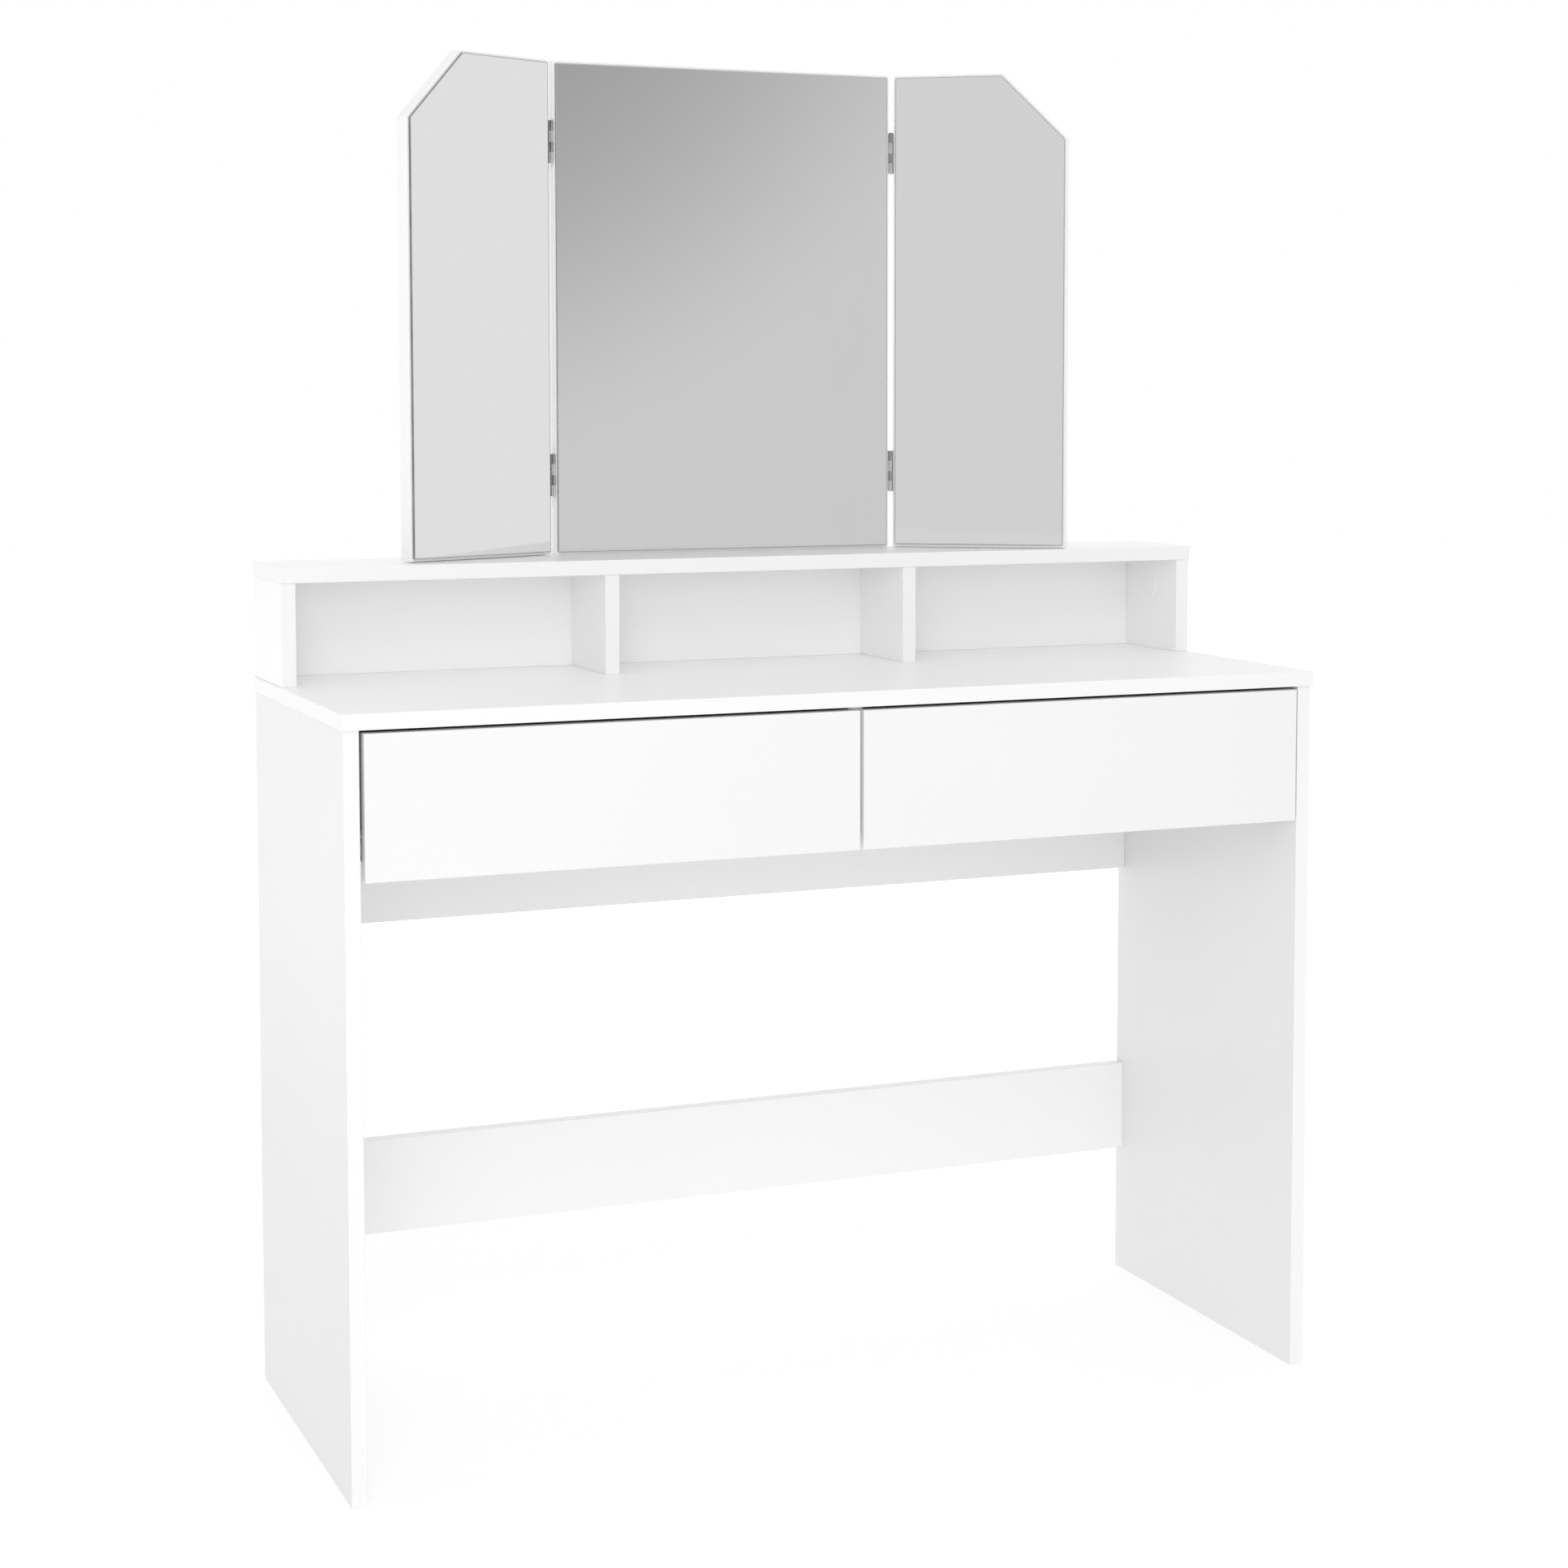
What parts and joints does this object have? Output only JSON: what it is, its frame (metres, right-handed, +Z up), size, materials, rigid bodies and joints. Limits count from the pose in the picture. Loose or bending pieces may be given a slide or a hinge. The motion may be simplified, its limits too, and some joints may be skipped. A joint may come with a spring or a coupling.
{
  "type": "dressing table with mirror",
  "caption": "White panel dressing table with handle-less drawers, an open shelf box and a folding mirror with cut upper corners on top.",
  "frame": {"origin": "on the floor, in the middle of the footprint", "axes": "+X to the right seen from the front, +Y from the front to the wall, +Z up"},
  "size_m": [1.08, 0.4, 1.443],
  "materials": {
    "beech": "raw fluted beech",
    "chrome": "bright chrome plate",
    "drawer_board": "white foil-wrapped board, matt",
    "drawer_bottom": "white lacquered hardboard",
    "mirror_glass": "silvered mirror glass with polished edges",
    "nylon": "natural white nylon",
    "runner_steel": "white epoxy powder coat",
    "white_board": "white melamine-faced chipboard with banded edges, satin",
    "white_plastic": "white moulded plastic",
    "zinc_casting": "raw zinc die casting",
    "zinc_steel": "bright zinc plate"
  },
  "bodies": {
    "cabinet": {"cam_bolts": "zinc_steel", "cam_cover_caps": "white_plastic", "cam_locks": "zinc_casting", "centre_partition": "white_board", "left_drawer_left_channel": "runner_steel", "left_drawer_right_channel": "runner_steel", "left_side_panel": "white_board", "long_screws": "zinc_steel", "lower_back_rail": "white_board", "mirror_board": "white_board", "mirror_glass": "mirror_glass", "mirror_hinge_leaves": "chrome", "mirror_hinge_pins": "chrome", "mirror_hinge_screws": "chrome", "right_drawer_left_channel": "runner_steel", "right_drawer_right_channel": "runner_steel", "right_side_panel": "white_board", "runner_screws": "zinc_steel", "shelf_back_panel": "white_board", "shelf_left_divider": "white_board", "shelf_left_wall": "white_board", "shelf_right_divider": "white_board", "shelf_right_wall": "white_board", "shelf_top": "white_board", "table_top": "white_board", "upper_back_rail": "white_board", "wooden_dowels": "beech"},
    "left_drawer": {"left_drawer_back": "drawer_board", "left_drawer_bottom": "drawer_bottom", "left_drawer_front": "white_board", "left_drawer_left_member": "runner_steel", "left_drawer_left_side": "drawer_board", "left_drawer_right_member": "runner_steel", "left_drawer_right_side": "drawer_board", "left_drawer_screws": "zinc_steel"},
    "left_drawer_left_channel_roller": {"left_drawer_left_channel_roller": "nylon"},
    "left_drawer_left_member_roller": {"left_drawer_left_member_roller": "nylon"},
    "left_drawer_right_channel_roller": {"left_drawer_right_channel_roller": "nylon"},
    "left_drawer_right_member_roller": {"left_drawer_right_member_roller": "nylon"},
    "left_wing": {"left_wing_board": "white_board", "left_wing_glass": "mirror_glass", "left_wing_hinge_leaves": "chrome", "left_wing_hinge_screws": "chrome"},
    "right_drawer": {"right_drawer_back": "drawer_board", "right_drawer_bottom": "drawer_bottom", "right_drawer_front": "white_board", "right_drawer_left_member": "runner_steel", "right_drawer_left_side": "drawer_board", "right_drawer_right_member": "runner_steel", "right_drawer_right_side": "drawer_board", "right_drawer_screws": "zinc_steel"},
    "right_drawer_left_channel_roller": {"right_drawer_left_channel_roller": "nylon"},
    "right_drawer_left_member_roller": {"right_drawer_left_member_roller": "nylon"},
    "right_drawer_right_channel_roller": {"right_drawer_right_channel_roller": "nylon"},
    "right_drawer_right_member_roller": {"right_drawer_right_member_roller": "nylon"},
    "right_wing": {"right_wing_board": "white_board", "right_wing_glass": "mirror_glass", "right_wing_hinge_leaves": "chrome", "right_wing_hinge_screws": "chrome"}
  },
  "joints": [
    {"name": "left_drawer_slide", "type": "slide", "parent": "cabinet", "child": "left_drawer", "axis": [0, -1, 0], "range_m": [0, 0.25]},
    {"name": "right_drawer_slide", "type": "slide", "parent": "cabinet", "child": "right_drawer", "axis": [0, -1, 0], "range_m": [0, 0.25]},
    {"name": "left_wing_hinge", "type": "hinge", "parent": "cabinet", "child": "left_wing", "pos_m": [-0.2054, 0.1805, 1.1705], "axis": [0, 0, 1], "range_deg": [-25, 155]},
    {"name": "right_wing_hinge", "type": "hinge", "parent": "cabinet", "child": "right_wing", "pos_m": [0.2054, 0.1805, 1.1705], "axis": [0, 0, -1], "range_deg": [-34, 146]},
    {"name": "left_drawer_left_channel_roller_spin", "type": "hinge", "parent": "cabinet", "child": "left_drawer_left_channel_roller", "pos_m": [-0.5169, -0.168, 0.6415], "axis": [1, 0, 0], "continuous": true},
    {"name": "left_drawer_left_member_roller_spin", "type": "hinge", "parent": "left_drawer", "child": "left_drawer_left_member_roller", "pos_m": [-0.5144, 0.154, 0.6415], "axis": [1, 0, 0], "continuous": true},
    {"name": "left_drawer_right_channel_roller_spin", "type": "hinge", "parent": "cabinet", "child": "left_drawer_right_channel_roller", "pos_m": [-0.0131, -0.168, 0.6415], "axis": [1, 0, 0], "continuous": true},
    {"name": "left_drawer_right_member_roller_spin", "type": "hinge", "parent": "left_drawer", "child": "left_drawer_right_member_roller", "pos_m": [-0.0156, 0.154, 0.6415], "axis": [1, 0, 0], "continuous": true},
    {"name": "right_drawer_left_channel_roller_spin", "type": "hinge", "parent": "cabinet", "child": "right_drawer_left_channel_roller", "pos_m": [0.0131, -0.168, 0.6415], "axis": [1, 0, 0], "continuous": true},
    {"name": "right_drawer_left_member_roller_spin", "type": "hinge", "parent": "right_drawer", "child": "right_drawer_left_member_roller", "pos_m": [0.0156, 0.154, 0.6415], "axis": [1, 0, 0], "continuous": true},
    {"name": "right_drawer_right_channel_roller_spin", "type": "hinge", "parent": "cabinet", "child": "right_drawer_right_channel_roller", "pos_m": [0.5169, -0.168, 0.6415], "axis": [1, 0, 0], "continuous": true},
    {"name": "right_drawer_right_member_roller_spin", "type": "hinge", "parent": "right_drawer", "child": "right_drawer_right_member_roller", "pos_m": [0.5144, 0.154, 0.6415], "axis": [1, 0, 0], "continuous": true}
  ],
  "couplings": [
    {"joint": "left_drawer_left_channel_roller_spin", "follows": "left_drawer_slide", "rad_per_m": 90.909},
    {"joint": "left_drawer_left_member_roller_spin", "follows": "left_drawer_slide", "rad_per_m": 90.909},
    {"joint": "left_drawer_right_channel_roller_spin", "follows": "left_drawer_slide", "rad_per_m": 90.909},
    {"joint": "left_drawer_right_member_roller_spin", "follows": "left_drawer_slide", "rad_per_m": 90.909},
    {"joint": "right_drawer_left_channel_roller_spin", "follows": "right_drawer_slide", "rad_per_m": 90.909},
    {"joint": "right_drawer_left_member_roller_spin", "follows": "right_drawer_slide", "rad_per_m": 90.909},
    {"joint": "right_drawer_right_channel_roller_spin", "follows": "right_drawer_slide", "rad_per_m": 90.909},
    {"joint": "right_drawer_right_member_roller_spin", "follows": "right_drawer_slide", "rad_per_m": 90.909}
  ]
}
